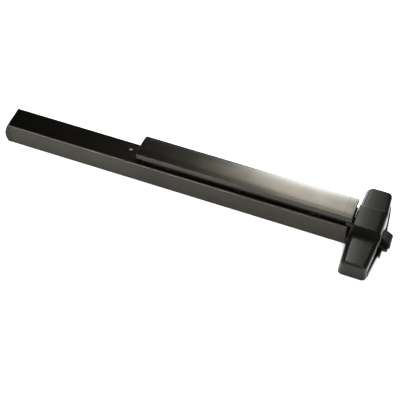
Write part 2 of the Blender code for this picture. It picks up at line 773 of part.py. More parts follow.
def make_head_cover(mats):
    shell = loft([cover_section(y, 0.0) for y in cover_stations(0.0)])
    hollow = loft([cover_section(y, HEAD_SKIN) for y in cover_stations(HEAD_SKIN)])
    case_way = box((-45, -19, 4), (-20, 19, 55.5))
    latch_way = box((15, DEAD_Y[0] - 0.8, -2), (50, BOLT_HALF + 0.8, 38.5))
    plate_way = box((20, -FLANGE_HALF - 1.4, -2), (50, FLANGE_HALF + 1.4, CHASSIS_THICK + GAP))
    screw_hole = rod("Y", 0, COVER_SCREW_Z, 2.5, HEAD_HALF - 5, HEAD_HALF + 5)
    cuts = [hollow, case_way, latch_way, plate_way, screw_hole]
    piece("head_cover", mats["paint"], shell, cuts=cuts)


def side_line(outside):
    """Points down the latch side of the head, from the lower lobe to the upper one."""
    end = FLANGE_HALF
    wide = BASE_RIGHT[0] - outside
    slim = blend(BASE_RIGHT, lobe_share(end)) - outside
    return [(slim, -end), (wide, -MIDDLE_HALF), (wide, MIDDLE_HALF), (slim, end)]


def make_chassis(mats):
    """Base plate of the head, with a flange up its latch side and a tab inside each end of the cover."""
    left = BASE_LEFT[0] - HEAD_SKIN - 1.7
    slim = BASE_LEFT[1] - HEAD_SKIN - 1.2
    end = HEAD_HALF - HEAD_SKIN - 1.1
    outer = side_line(0.0)
    lower = [(-left, -MIDDLE_HALF), (-slim, -92), (-20, -end), (20, -end), (26, -95), (26, -FLANGE_HALF)]
    upper = [(x, -y) for x, y in reversed(lower)]
    plate = prism([*lower, *outer, *upper], "Z", 0, CHASSIS_THICK)
    inner = side_line(FLANGE)
    flange = prism(outer + list(reversed(inner)), "Z", 1.5, FLANGE_Z)
    tabs = [box((-7, -end, 2.0), (7, 2.5 - end, 20)), box((-7, end - 2.5, 2.0), (7, end, 20))]
    cuts = [box((BASE_RIGHT[0] - 5, DEAD_Y[0] - 0.8, 4.5), (BASE_RIGHT[0] + 5, BOLT_HALF + 0.8, 30))]
    cuts += [rod("Z", x, y, 3.1, -2, 6) for x, y in HEAD_SCREWS.values()]
    cuts.append(rod("Y", 0, COVER_SCREW_Z, 2.5, end - 5, end + 5))
    piece("head_chassis", mats["paint"], plate, joins=[flange, *tabs], cuts=cuts)


def make_head_screws(mats):
    for name, (x, y) in HEAD_SCREWS.items():
        seat = CHASSIS_THICK + GAP
        make_screw(f"head_mount_screw_{name}", mats["zinc"], "Z", x, y, seat, GAP, 5.0, 2.5, 1)
    seat = HEAD_HALF + GAP
    make_screw("cover_screw", mats["black"], "Y", 0, COVER_SCREW_Z, seat, HEAD_HALF - 12, 3.6, 2.1, 1)


def make_edge_guide(mats):
    """Guide at the latch side that the bolt and the deadlatch run over."""
    low, high = DEAD_Y[0] - 17, BOLT_HALF + 5
    x = BASE_RIGHT[0] + GAP
    points = [
        (low, GAP),
        (high, GAP),
        (high, 15),
        (BOLT_HALF + 0.8, 15),
        (BOLT_HALF + 0.8, 5.5),
        (DEAD_Y[0] - 0.8, 5.5),
        (DEAD_Y[0] - 0.8, 15),
        (low + 6, 15),
    ]
    guide = prism(rounded(points, [1, 1, 2, 1, 1, 1, 1, 4]), "X", x, x + 3)
    piece("latch_edge_guide", mats["black"], guide)


def make_latch_housing(mats):
    """Side plates that guide the bolt and carry the lever, with a back plate for the springs."""
    low = CHASSIS_THICK + GAP
    side = [
        (HOUSING_LEFT, low),
        (27.5, low),
        (27.5, 36),
        (6, 42),
        (0, 72.2),
        (-16, 72.2),
        (-22, 42),
        (HOUSING_LEFT, 26),
    ]
    inner = BOLT_HALF + 0.6
    plates = [prism(rounded(side, [0, 0, 2, 3, 3, 3, 3, 2]), "Y", *ends) for ends in
              ((-inner - 1.8, -inner), (inner, inner + 1.8))]
    floor = box((HOUSING_LEFT, -inner - 1, low), (27.5, inner + 1, low + 2))
    back = box((HOUSING_LEFT, DEAD_Y[0] - 1, low), (SPRING_SEAT - GAP, inner + 1, 25))
    hole = rod("Y", LEVER_X, LEVER_Z, 2.5 + GAP, -30, 30)
    piece("latch_housing", mats["zinc"], floor, joins=[*plates, back], cuts=[hole])


def bolt_section(x, top):
    """A ribbed cross section of the bolt's nose."""
    ribs = 7
    pitch = 2 * BOLT_HALF / ribs
    points = [(x, -BOLT_HALF, 7.0)]
    for k in range(ribs):
        start = -BOLT_HALF + pitch * k
        points.append((x, start + (0 if k == 0 else 0.15 * pitch), top))
        points.append((x, start + (1 if k == ribs - 1 else 0.6) * pitch, top))
        if k < ribs - 1:
            points.append((x, start + 0.75 * pitch, top - 1.1))
            points.append((x, start + 1.0 * pitch, top - 1.1))
    points.append((x, BOLT_HALF, 7.0))
    return points


def make_latch_bolt(mats, body):
    nose = loft([bolt_section(x, top) for x, top in
                 ((24, 35.5), (39.5, 35.5), (49, 31.0), (54.5, 27.4), (56.3, 25.0), (BOLT_TIP, 21.5))])
    tail = box((-10, -BOLT_HALF, 7), (25, BOLT_HALF, 30))
    pin_x = lever_pin(LEVER_BOLT)[0]
    cheek = [
        (pin_x - 7, 28),
        (pin_x + 7, 28),
        (pin_x + 7, 41.2),
        (pin_x + NOTCH, 41.2),
        (pin_x + NOTCH, 33),
        (pin_x - NOTCH, 33),
        (pin_x - NOTCH, 41.2),
        (pin_x - 7, 41.2),
    ]
    cheek = rounded(cheek, [0, 0, 2, 0.8, 1, 1, 0.8, 2])
    cheeks = [prism(cheek, "Y", *ends) for ends in ((-8, -3.6), (3.6, 8))]
    bore = rod("X", 0, 17, 6.0, -15, 15)
    piece("latch_bolt", mats["black"], nose, joins=[tail, *cheeks], cuts=[bore], body=body)
    coil("latch_spring", mats["steel"], "X", 0, 17, 4.6, 0.7, SPRING_SEAT, 14.6, 8)


def make_deadlatch(mats, body):
    y0, y1 = DEAD_Y
    side = [(0, 7), (DEAD_TIP, 7), (DEAD_TIP, 13), (DEAD_TIP - 13, 19.5), (0, 19.5)]
    block = prism(rounded(side, [0, 1, 2.5, 2, 0]), "Y", y0, y1)
    piece("deadlatch", mats["black"], block, body=body)
    coil("deadlatch_spring", mats["steel"], "X", (y0 + y1) / 2, 13, 3.0, 0.5, SPRING_SEAT, -0.4, 7)


def make_retractor(mats, body):
    """The lever that turns the rod's short pull into the bolt's full travel."""
    pin = 2.5
    width = 5.0
    low = LEVER_Z - LEVER_BOLT - 4.5
    points = rectangle(LEVER_X - width, low, LEVER_X + width, LEVER_Z + 3)
    outline = turned_about(rounded(points, [4, 4, 2.8, 2.8]), (LEVER_X, LEVER_Z), LEVER_SWING)
    places = {"pivot": (LEVER_X, LEVER_Z), "rod": lever_pin(LEVER_ROD), "bolt": lever_pin(LEVER_BOLT)}
    holes = [rod("Y", *spot, pin + GAP, -5, 5, 16) for spot in places.values()]
    piece("retractor_lever", mats["zinc"], prism(outline, "Y", -3, 3), cuts=holes, body=body)
    spans = {"rod": (-4.2, 7.4), "bolt": (-8.6, 8.6)}
    for name, (low_end, high_end) in spans.items():
        solid = rod("Y", *places[name], pin, low_end, high_end, 16)
        piece(f"lever_{name}_pin", mats["steel"], solid, body=body)
    outer = BOLT_HALF + 0.6 + 1.8 + 0.8
    pivot = rod("Y", *places["pivot"], pin, -outer, outer, 16)
    piece("lever_pivot_pin", mats["steel"], pivot)


def main():
    clear_scene()
    mats = make_finishes()
    bodies = make_empties({
        "push_bar": ((RAIL_LEFT + RAIL_RIGHT) / 2, 0, PAD_CROWN_Z),
        "bell_crank_hinge": (PIVOTS["hinge"], 0, PIVOT_Z),
        "bell_crank_latch": (PIVOTS["latch"], 0, PIVOT_Z),
        "control_rod": (PIVOTS["latch"], 0, ROD_Z),
        "dogging": (DOG_X, DOG_Y, 0),
        "latch": (BOLT_TIP, 0, 17),
        "deadlatch": (DEAD_TIP, sum(DEAD_Y) / 2, 13),
        "retractor": (LEVER_X, 0, LEVER_Z),
    })
    make_case(mats)
    make_cover_plate(mats)
    make_filler(mats)
    make_end_cap(mats)
    make_end_bracket(mats)
    make_end_screws(mats)
    make_push_pad(mats, bodies["push_bar"])
    make_pad_caps(mats, bodies["push_bar"])
    make_push_rail(mats, bodies["push_bar"])
    make_rail_pins(mats, bodies["push_bar"])
    make_bumpers(mats)
    make_cranks(mats, bodies)
    make_crank_brackets(mats)
    make_control_rod(mats, bodies["control_rod"])
    make_rod_return(mats, bodies["control_rod"])
    make_dogging(mats, bodies["dogging"], bodies["push_bar"])
    make_head_cover(mats)
    make_chassis(mats)
    make_head_screws(mats)
    make_edge_guide(mats)
    make_latch_housing(mats)
    make_latch_bolt(mats, bodies["latch"])
    make_deadlatch(mats, bodies["deadlatch"])
    make_retractor(mats, bodies["retractor"])


main()
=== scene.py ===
"""Panic exit bar with a rim latch: the finished surfaces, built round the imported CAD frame.

Each operator makes one group of pieces. The bar lies on its back, as it would on the face of
a door: +X runs along it towards the latch, +Y up the door and +Z out of the door.
"""

import json
import math
from contextlib import contextmanager

import bmesh
import bpy
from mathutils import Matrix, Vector

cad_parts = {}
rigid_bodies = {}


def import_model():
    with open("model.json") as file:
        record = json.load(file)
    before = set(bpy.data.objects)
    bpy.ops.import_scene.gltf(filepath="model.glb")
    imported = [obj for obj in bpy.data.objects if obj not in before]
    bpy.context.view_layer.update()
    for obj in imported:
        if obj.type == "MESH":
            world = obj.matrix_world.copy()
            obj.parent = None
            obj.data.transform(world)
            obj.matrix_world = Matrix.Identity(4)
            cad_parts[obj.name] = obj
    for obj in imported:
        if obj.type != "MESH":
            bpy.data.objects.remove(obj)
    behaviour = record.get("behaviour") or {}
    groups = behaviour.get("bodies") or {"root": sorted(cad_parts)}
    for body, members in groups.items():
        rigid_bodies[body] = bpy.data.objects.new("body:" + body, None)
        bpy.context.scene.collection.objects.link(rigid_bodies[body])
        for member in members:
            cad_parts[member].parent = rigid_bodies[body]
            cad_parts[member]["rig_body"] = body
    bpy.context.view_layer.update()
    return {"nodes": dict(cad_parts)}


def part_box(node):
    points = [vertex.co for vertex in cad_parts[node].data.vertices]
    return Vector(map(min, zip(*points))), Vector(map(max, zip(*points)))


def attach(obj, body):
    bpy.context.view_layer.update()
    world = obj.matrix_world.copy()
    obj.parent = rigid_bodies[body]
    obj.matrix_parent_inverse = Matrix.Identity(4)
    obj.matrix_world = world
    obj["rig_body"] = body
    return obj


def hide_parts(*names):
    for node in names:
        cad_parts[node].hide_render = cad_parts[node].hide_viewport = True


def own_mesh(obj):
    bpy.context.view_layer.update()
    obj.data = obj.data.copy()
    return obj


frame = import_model()

bl_info = {
    "name": "Panic Exit Bar",
    "version": (1, 0, 0),
    "blender": (4, 5, 0),
    "location": "3D View > Sidebar > Exit Bar",
    "description": "Builds the finished surfaces of a panic exit bar round its CAD frame",
    "category": "Add Mesh",
}

MM = 0.001
# Points this close are one point, and an edge this short is left over from a bevel.
WELD = 0.002 * MM
SLIVER = 0.0002 * MM


def mm(*values):
    """Millimetres as metres."""
    return tuple(value * MM for value in values)


def node_box(name):
    low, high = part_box(name)
    return Vector(low), Vector(high)


CASE_LOW, CASE_HIGH = node_box("mechanism_case")
COVER_LOW, COVER_HIGH = node_box("cover_plate")
CAP_LOW, CAP_HIGH = node_box("end_cap")
PAD_LOW, PAD_HIGH = node_box("push_pad")
HEAD_LOW, HEAD_HIGH = node_box("head_cover")


# --- colours and materials ---------------------------------------------------


def linear(hex_colour):
    """An sRGB hex value as linear red, green and blue."""
    out = []
    for start in (0, 2, 4):
        value = int(hex_colour[start : start + 2], 16) / 255
        out.append(value / 12.92 if value <= 0.04045 else ((value + 0.055) / 1.055) ** 2.4)
    return tuple(out)


def per_metre(size_mm):
    """The scale that gives a noise pattern features of this size, on Object coordinates."""
    return 1000.0 / size_mm


def add_node(tree, kind, values=None, links=None, **settings):
    """Adds a node with its settings, its sockets' values and the links that feed them."""
    made = tree.nodes.new("ShaderNode" + kind)
    for name, value in settings.items():
        setattr(made, name, value)
    for socket, value in (values or {}).items():
        made.inputs[socket].default_value = value
    for socket, (source, output) in (links or {}).items():
        tree.links.new(source.outputs[output], made.inputs[socket])
    return made


def new_material(name):
    """A material and its node tree, still empty."""
    material = bpy.data.materials.new(name)
    material.use_nodes = True
    tree = material.node_tree
    tree.nodes.clear()
    return material, tree


def vary(ramp, colour, share, first=0.0, last=1.0):
    """Sets a ramp's two stops to the colour a little darker and a little lighter."""
    for stop, place, factor in zip(ramp.elements, (first, last), (1 - share, 1 + share)):
        stop.position = place
        stop.color = (*[c * factor for c in colour], 1.0)


def anodised_aluminium(colour, roughness):
    """Extruded aluminium, etched and dyed dark bronze by anodising.

    It has a satin metal sheen, very faint lines along the extrusion and slow drifts of tone.
    """
    material, tree = new_material("anodised_aluminium_extruded")
    place = add_node(tree, "TexCoord")
    # Die lines sit 0.1 to 0.3 mm apart; they are drawn 0.9 mm apart, so that they show at all.
    lines_at = add_node(
        tree,
        "Mapping",
        values={"Scale": (per_metre(400), per_metre(0.9), per_metre(0.9))},
        links={"Vector": (place, "Object")},
    )
    lines = add_node(
        tree,
        "TexNoise",
        values={"Scale": 1.0, "Detail": 3.0, "Roughness": 0.6},
        links={"Vector": (lines_at, "Vector")},
    )
    # The dye takes unevenly over some 60 mm of length.
    drift = add_node(
        tree,
        "TexNoise",
        values={"Scale": per_metre(60), "Detail": 2.0},
        links={"Vector": (place, "Object")},
    )
    # Etched grain is near 0.05 mm; it is drawn at 0.5 mm, as coarse as it needs to show.
    grain = add_node(
        tree,
        "TexNoise",
        values={"Scale": per_metre(0.5), "Detail": 2.0},
        links={"Vector": (place, "Object")},
    )
    tone = add_node(tree, "ValToRGB", links={"Fac": (drift, "Fac")})
    vary(tone.color_ramp, colour, 0.10, 0.35, 0.65)
    gloss = add_node(
        tree,
        "MapRange",
        values={"To Min": roughness - 0.04, "To Max": roughness + 0.05},
        links={"Value": (lines, "Fac")},
    )
    lined = add_node(
        tree,
        "Bump",
        values={"Strength": 0.06, "Distance": 0.00005},
        links={"Height": (lines, "Fac")},
    )
    grained = add_node(
        tree,
        "Bump",
        values={"Strength": 0.05, "Distance": 0.00004},
        links={"Height": (grain, "Fac"), "Normal": (lined, "Normal")},
    )
    shader = add_node(
        tree,
        "BsdfPrincipled",
        values={"Metallic": 1.0},
        links={
            "Base Color": (tone, "Color"),
            "Roughness": (gloss, "Result"),
            "Normal": (grained, "Normal"),
        },
    )
    add_node(tree, "OutputMaterial", links={"Surface": (shader, "BSDF")})
    return material


def painted_casting(colour, roughness):
    """A die casting sprayed with satin bronze-black enamel.

    The paint flows into a faint orange peel.
    """
    material, tree = new_material("satin_enamel_on_casting")
    place = add_node(tree, "TexCoord")
    # Orange peel waves measure 2 to 3 mm.
    peel = add_node(
        tree,
        "TexNoise",
        values={"Scale": per_metre(2.6), "Detail": 1.0},
        links={"Vector": (place, "Object")},
    )
    # Overspray dust is under 0.2 mm; it is drawn at 0.6 mm to show.
    dust = add_node(
        tree,
        "TexNoise",
        values={"Scale": per_metre(0.6), "Detail": 2.0},
        links={"Vector": (place, "Object")},
    )
    cloud = add_node(
        tree,
        "TexNoise",
        values={"Scale": per_metre(45), "Detail": 2.0},
        links={"Vector": (place, "Object")},
    )
    tone = add_node(tree, "ValToRGB", links={"Fac": (cloud, "Fac")})
    vary(tone.color_ramp, colour, 0.12, 0.35, 0.65)
    gloss = add_node(
        tree,
        "MapRange",
        values={"To Min": roughness - 0.04, "To Max": roughness + 0.05},
        links={"Value": (dust, "Fac")},
    )
    peeled = add_node(
        tree,
        "Bump",
        values={"Strength": 0.10, "Distance": 0.00012},
        links={"Height": (peel, "Fac")},
    )
    dusted = add_node(
        tree,
        "Bump",
        values={"Strength": 0.05, "Distance": 0.00004},
        links={"Height": (dust, "Fac"), "Normal": (peeled, "Normal")},
    )
    shader = add_node(
        tree,
        "BsdfPrincipled",
        # Satin enamel mirrors less than gloss, and the bronze pigment in it warms what it mirrors.
        values={
            "IOR": 1.5,
            "Specular IOR Level": 0.10,
            "Specular Tint": (1.0, 0.96, 0.86, 1.0),
        },
        links={
            "Base Color": (tone, "Color"),
            "Roughness": (gloss, "Result"),
            "Normal": (dusted, "Normal"),
        },
    )
    add_node(tree, "OutputMaterial", links={"Surface": (shader, "BSDF")})
    return material


def worked_metal(name, colour, roughness, grain_mm, drift_mm, bump):
    """A bare or plated steel: a fine grain in its gloss, and a slow change of tone."""
    material, tree = new_material(name)
    place = add_node(tree, "TexCoord")
    grain = add_node(
        tree,
        "TexNoise",
        values={"Scale": per_metre(grain_mm), "Detail": 3.0},
        links={"Vector": (place, "Object")},
    )
    drift = add_node(
        tree,
        "TexNoise",
        values={"Scale": per_metre(drift_mm), "Detail": 2.0},
        links={"Vector": (place, "Object")},
    )
    tone = add_node(tree, "ValToRGB", links={"Fac": (drift, "Fac")})
    vary(tone.color_ramp, colour, 0.15, 0.3, 0.7)
    gloss = add_node(
        tree,
        "MapRange",
        values={"To Min": roughness - 0.06, "To Max": roughness + 0.08},
        links={"Value": (grain, "Fac")},
    )
    rough = add_node(
        tree,
        "Bump",
        values={"Strength": bump, "Distance": 0.00005},
        links={"Height": (grain, "Fac")},
    )
    shader = add_node(
        tree,
        "BsdfPrincipled",
        values={"Metallic": 1.0},
        links={
            "Base Color": (tone, "Color"),
            "Roughness": (gloss, "Result"),
            "Normal": (rough, "Normal"),
        },
    )
    add_node(tree, "OutputMaterial", links={"Surface": (shader, "BSDF")})
    return material


def moulded_rubber(colour):
    """Moulded nitrile rubber: matt, near black, with a soft bloom in patches."""
    material, tree = new_material("nitrile_rubber_moulded")
    place = add_node(tree, "TexCoord")
    bloom = add_node(
        tree,
        "TexNoise",
        values={"Scale": per_metre(4), "Detail": 3.0},
        links={"Vector": (place, "Object")},
    )
    tone = add_node(tree, "ValToRGB", links={"Fac": (bloom, "Fac")})
    vary(tone.color_ramp, colour, 0.3)
    skin = add_node(
        tree,
        "Bump",
        values={"Strength": 0.2, "Distance": 0.0001},
        links={"Height": (bloom, "Fac")},
    )
    shader = add_node(
        tree,
        "BsdfPrincipled",
        values={"Roughness": 0.75, "IOR": 1.52},
        links={"Base Color": (tone, "Color"), "Normal": (skin, "Normal")},
    )
    add_node(tree, "OutputMaterial", links={"Surface": (shader, "BSDF")})
    return material


def studio_floor(colour):
    """Matt pale laminate, seen only as an even ground."""
    material, tree = new_material("floor_laminate_matt")
    place = add_node(tree, "TexCoord")
    fleck = add_node(
        tree,
        "TexNoise",
        values={"Scale": per_metre(8), "Detail": 2.0},
        links={"Vector": (place, "Object")},
    )
    tone = add_node(tree, "ValToRGB", links={"Fac": (fleck, "Fac")})
    vary(tone.color_ramp, colour, 0.01)
    shader = add_node(
        tree,
        "BsdfPrincipled",
        values={"Roughness": 0.9, "Specular IOR Level": 0.1},
        links={"Base Color": (tone, "Color")},
    )
    add_node(tree, "OutputMaterial", links={"Surface": (shader, "BSDF")})
    return material


FINISH_MATERIALS = {
    "bronze": "anodised_aluminium_extruded",
    "paint": "satin_enamel_on_casting",
    "black": "blackened_steel_oxide",
    "zinc": "zinc_plated_steel",
    "steel": "hardened_steel_ground",
    "rubber": "nitrile_rubber_moulded",
}


def finishes(colours):
    """Every finish of the bar by its short name, made once."""
    if FINISH_MATERIALS["bronze"] in bpy.data.materials:
        return {key: bpy.data.materials[name] for key, name in FINISH_MATERIALS.items()}
    return {
        "bronze": anodised_aluminium(colours.bronze, 0.28),
        "paint": painted_casting(colours.enamel, 0.17),
        # Blackened steel: a thin oxide, oiled, with a dull dark shine.
        "black": worked_metal("blackened_steel_oxide", colours.black_steel, 0.42, 0.7, 9, 0.10),
        # Zinc plate with a clear passivate: pale grey, slightly cloudy.
        "zinc": worked_metal("zinc_plated_steel", colours.zinc, 0.34, 0.8, 14, 0.08),
        # Ground and hardened steel: the brightest metal, with a fine grind.
        "steel": worked_metal("hardened_steel_ground", colours.steel, 0.24, 0.5, 20, 0.05),
        "rubber": moulded_rubber(colours.rubber),
    }


# --- modelling by hand -------------------------------------------------------


def near(value, wanted, within=0.05 * MM):
    return abs(value - wanted) < within


def select_only(obj):
    bpy.ops.object.select_all(action="DESELECT")
    obj.select_set(True)
    bpy.context.view_layer.objects.active = obj


def keep_as(name):
    """Names the new primitive and puts its place and size in its mesh."""
    obj = bpy.context.object
    obj.name = name
    obj.data.name = name
    bpy.ops.object.transform_apply(location=True, rotation=True, scale=True)
    return obj


def add_box(name, low, high):
    bpy.ops.object.select_all(action="DESELECT")
    low, high = Vector(low), Vector(high)
    bpy.ops.mesh.primitive_cube_add(size=1, location=(low + high) / 2, scale=high - low)
    return keep_as(name)


def add_rod(name, start, end, radius, sides=48):
    """A cylinder from start to end."""
    bpy.ops.object.select_all(action="DESELECT")
    start, end = Vector(start), Vector(end)
    turn = (end - start).to_track_quat("Z", "Y").to_euler()
    bpy.ops.mesh.primitive_cylinder_add(
        vertices=sides,
        radius=radius,
        depth=(end - start).length,
        location=(start + end) / 2,
        rotation=turn,
    )
    return keep_as(name)


@contextmanager
def editing(obj):
    select_only(obj)
    bpy.ops.object.mode_set(mode="EDIT")
    bpy.ops.mesh.select_all(action="DESELECT")
    yield
    bpy.ops.object.mode_set(mode="OBJECT")


def pick(kind, test):
    """Selects the vertices, edges or faces that pass the test, and nothing else."""
    bpy.ops.mesh.select_mode(type=kind)
    bpy.ops.mesh.select_all(action="DESELECT")
    mesh = bmesh.from_edit_mesh(bpy.context.object.data)
    items = {"VERT": mesh.verts, "EDGE": mesh.edges, "FACE": mesh.faces}[kind]
    found = [item for item in items if test(item)]
    if not found:
        raise RuntimeError(f"{bpy.context.object.name}: nothing to select")
    for item in found:
        item.select_set(True)
    mesh.select_flush_mode()
    bmesh.update_edit_mesh(bpy.context.object.data)


def both_ends(edge, test):
    return all(test(vert.co) for vert in edge.verts)


def line_at(y, z, both_sides=False):
    """A test for edges at this y and z, or there on both sides of the centre line."""
    fold = abs if both_sides else float
    here = lambda co: near(fold(co.y), y) and near(co.z, z)
    return lambda edge: both_ends(edge, here)


def runs(edge, axis, least=MM):
    """Whether an edge reaches further than this along an axis."""
    return abs(edge.verts[0].co[axis] - edge.verts[1].co[axis]) > least


def folds(edge, least):
    """Whether an edge lies between two faces that turn more than this."""
    return len(edge.link_faces) == 2 and abs(edge.calc_face_angle(0)) > least


def faces_along(x=0, z=0):
    """A test for faces whose normal points this way along one axis."""
    way = Vector((x, 0, z))
    return lambda face: face.normal.dot(way) > 0.95


def cut_at(axis, value):
    """A cut right round the edited mesh, across one axis."""
    bpy.ops.mesh.select_mode(type="FACE")
    bpy.ops.mesh.select_all(action="SELECT")
    at = Vector((0, 0, 0))
    at[axis] = value
    way = Vector((0, 0, 0))
    way[axis] = 1
    bpy.ops.mesh.bisect(plane_co=at, plane_no=way)


def shift(x=0.0, z=0.0):
    bpy.ops.transform.translate(value=(x, 0.0, z))


def extrude(y=0.0, z=0.0):
    bpy.ops.mesh.extrude_region_move(TRANSFORM_OT_translate={"value": (0.0, y, z)})


def round_off(offset, segments):
    bpy.ops.mesh.bevel(
        offset=offset, segments=segments, profile=0.5, affect="EDGES", clamp_overlap=True
    )


def turn_out(obj):
    """Merges the doubles of an open skin and turns its faces outwards.

    An open skin has no inside for Blender to find, so its top face tells the way.
    """
    with editing(obj):
        bpy.ops.mesh.select_all(action="SELECT")
        bpy.ops.mesh.remove_doubles(threshold=WELD)
        bpy.ops.mesh.normals_make_consistent(inside=False)
    top = max(obj.data.polygons, key=lambda face: abs(face.normal.z) * face.center.z)
    if top.normal.z < 0:
        with editing(obj):
            bpy.ops.mesh.select_all(action="SELECT")
            bpy.ops.mesh.flip_normals()


def apply_modifier(obj, kind, **settings):
    select_only(obj)
    modifier = obj.modifiers.new(kind.title(), kind)
    for name, value in settings.items():
        setattr(modifier, name, value)
    bpy.ops.object.modifier_apply(modifier=modifier.name)


def wall(obj, thickness):
    """Gives an open skin its wall, inwards."""
    apply_modifier(obj, "SOLIDIFY", thickness=thickness, offset=-1, use_even_offset=True)


def combine(obj, other, operation):
    apply_modifier(obj, "BOOLEAN", operation=operation, solver="EXACT", object=other)
    bpy.data.objects.remove(other, do_unlink=True)


def soften(obj, width):
    """Breaks the edges that turn by more than 30 degrees."""
    apply_modifier(
        obj,
        "BEVEL",
        width=width,
        segments=2,
        limit_method="ANGLE",
        angle_limit=math.radians(30),
        harden_normals=False,
        miter_outer="MITER_ARC",
    )


def shade(obj, angle=35.0):
    """Smooth where the surface is round, with flat faces kept flat beside their bevels."""
    select_only(obj)
    bpy.ops.object.shade_smooth_by_angle(angle=math.radians(angle))
    apply_modifier(obj, "WEIGHTED_NORMAL", weight=50, keep_sharp=True)


def hand_over(obj, body, finish, replaced):
    """Gives a finished piece its finish and its body, and hides the CAD nodes that it stands for.
    """
    colours = bpy.context.scene.exit_bar_finishes
    obj.data.materials.clear()
    obj.data.materials.append(finishes(colours)[finish])
    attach(obj, body)
    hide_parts(*replaced)


# --- sizes and colours a user would change -----------------------------------


class ExitBarCase(bpy.types.PropertyGroup):
    edge_radius: bpy.props.FloatProperty(
        name="Edge radius",
        description="Rounding of the case's front corners",
        default=5.5 * MM,
        unit="LENGTH",
    )
    lip_width: bpy.props.FloatProperty(
        name="Lip width",
        description="Front lip beside the cover plate",
        default=7.5 * MM,
        unit="LENGTH",
    )
    wall: bpy.props.FloatProperty(
        name="Wall",
        description="Wall thickness of the extrusion",
        default=2.2 * MM,
        unit="LENGTH",
    )


class ExitBarPad(bpy.types.PropertyGroup):
    crown: bpy.props.FloatProperty(
        name="Crown",
        description="Rise of the pad's middle over its long edges",
        default=5.7 * MM,
        unit="LENGTH",
    )
    edge_radius: bpy.props.FloatProperty(
        name="Edge radius",
        description="Rounding of the pad's long edges",
        default=1.2 * MM,
        unit="LENGTH",
    )
    wall: bpy.props.FloatProperty(
        name="Wall",
        description="Wall thickness of the pad",
        default=2.2 * MM,
        unit="LENGTH",
    )


class ExitBarHead(bpy.types.PropertyGroup):
    wall: bpy.props.FloatProperty(
        name="Wall",
        description="Wall thickness of the casting",
        default=2.0 * MM,
        unit="LENGTH",
    )
    middle_half: bpy.props.FloatProperty(
        name="Middle",
        description="Half of the raised middle's height up the door",
        default=28.6 * MM,
        unit="LENGTH",
    )
    middle_height: bpy.props.FloatProperty(
        name="Middle height",
        description="How far the middle stands out",
        default=75.0 * MM,
        unit="LENGTH",
    )
    middle_edge: bpy.props.FloatProperty(
        name="Middle edge",
        description="Rounding of the middle towards the latch",
        default=14.0 * MM,
        unit="LENGTH",
    )
    lobe_height: bpy.props.FloatProperty(
        name="Lobe height",
        description="How far a lobe stands out beside the middle",
        default=50.0 * MM,
        unit="LENGTH",
    )
    lobe_corner: bpy.props.FloatProperty(
        name="Lobe corner",
        description="Rounding of a lobe's end corners",
        default=10.0 * MM,
        unit="LENGTH",
    )
    shoulder_height: bpy.props.FloatProperty(
        name="Shoulder",
        description="Where a lobe's wall starts to lean in",
        default=37.0 * MM,
        unit="LENGTH",
    )


class ExitBarFinishes(bpy.types.PropertyGroup):
    bronze: bpy.props.FloatVectorProperty(
        name="Bronze",
        description="Dyed anodised aluminium",
        subtype="COLOR",
        default=linear("2A2722"),
    )
    enamel: bpy.props.FloatVectorProperty(
        name="Enamel",
        description="Paint of the castings",
        subtype="COLOR",
        default=linear("0B0A08"),
    )
    black_steel: bpy.props.FloatVectorProperty(
        name="Black steel",
        description="Oxide on the latch",
        subtype="COLOR",
        default=linear("2A2A29"),
    )
    zinc: bpy.props.FloatVectorProperty(
        name="Zinc",
        description="Plated steel inside",
        subtype="COLOR",
        default=linear("B4B3AC"),
    )
    steel: bpy.props.FloatVectorProperty(
        name="Steel",
        description="Ground steel pins and springs",
        subtype="COLOR",
        default=linear("C2C2C0"),
    )
    rubber: bpy.props.FloatVectorProperty(
        name="Rubber",
        description="Bumpers",
        subtype="COLOR",
        default=linear("1A1A1A"),
    )


class ExitBarStage(bpy.types.PropertyGroup):
    azimuth: bpy.props.FloatProperty(
        name="Azimuth",
        description="Where the camera stands round the bar",
        default=math.radians(21.25),
        subtype="ANGLE",
    )
    elevation: bpy.props.FloatProperty(
        name="Elevation",
        description="How far the camera looks down",
        default=math.radians(52.1),
        subtype="ANGLE",
    )
    distance: bpy.props.FloatProperty(
        name="Distance",
        description="From the camera to its target",
        default=2.3945,
        unit="LENGTH",
    )
    lens: bpy.props.FloatProperty(
        name="Lens",
        description="Focal length on a 36 mm sensor",
        default=98.0,
        unit="CAMERA",
    )
    target: bpy.props.FloatVectorProperty(
        name="Target",
        description="The point that the camera looks at",
        default=(-0.3665, -0.02946, 0.0),
        unit="LENGTH",
    )
    floor: bpy.props.FloatVectorProperty(
        name="Floor",
        description="Colour of the floor",
        subtype="COLOR",
        default=linear("F4F4F2"),
    )


# --- the case and what closes it ---------------------------------------------

# A name that ends in HOLE holds the hole's radius, and one that ends in CUT holds where its
# cutter starts and ends.
LIP_RETURN = 3.0 * MM
LIP_NOSE = 0.6 * MM
CASE_BACK_EDGE = 1.0 * MM
# The end bracket's two screws go through the back of the case, one each side of its middle.
END_SCREW_X = -810 * MM
END_SCREW_Y = 14.0 * MM
END_SCREW_HOLE = 3.2 * MM
BACK_CUT = mm(-1, 8)

KEY_HOLE_X = -544 * MM
KEY_HOLE_Y = 8 * MM
KEY_HOLE = 4.8 * MM
KEY_HOLE_CUT = mm(50, 60)
COVER_EDGE = 0.5 * MM

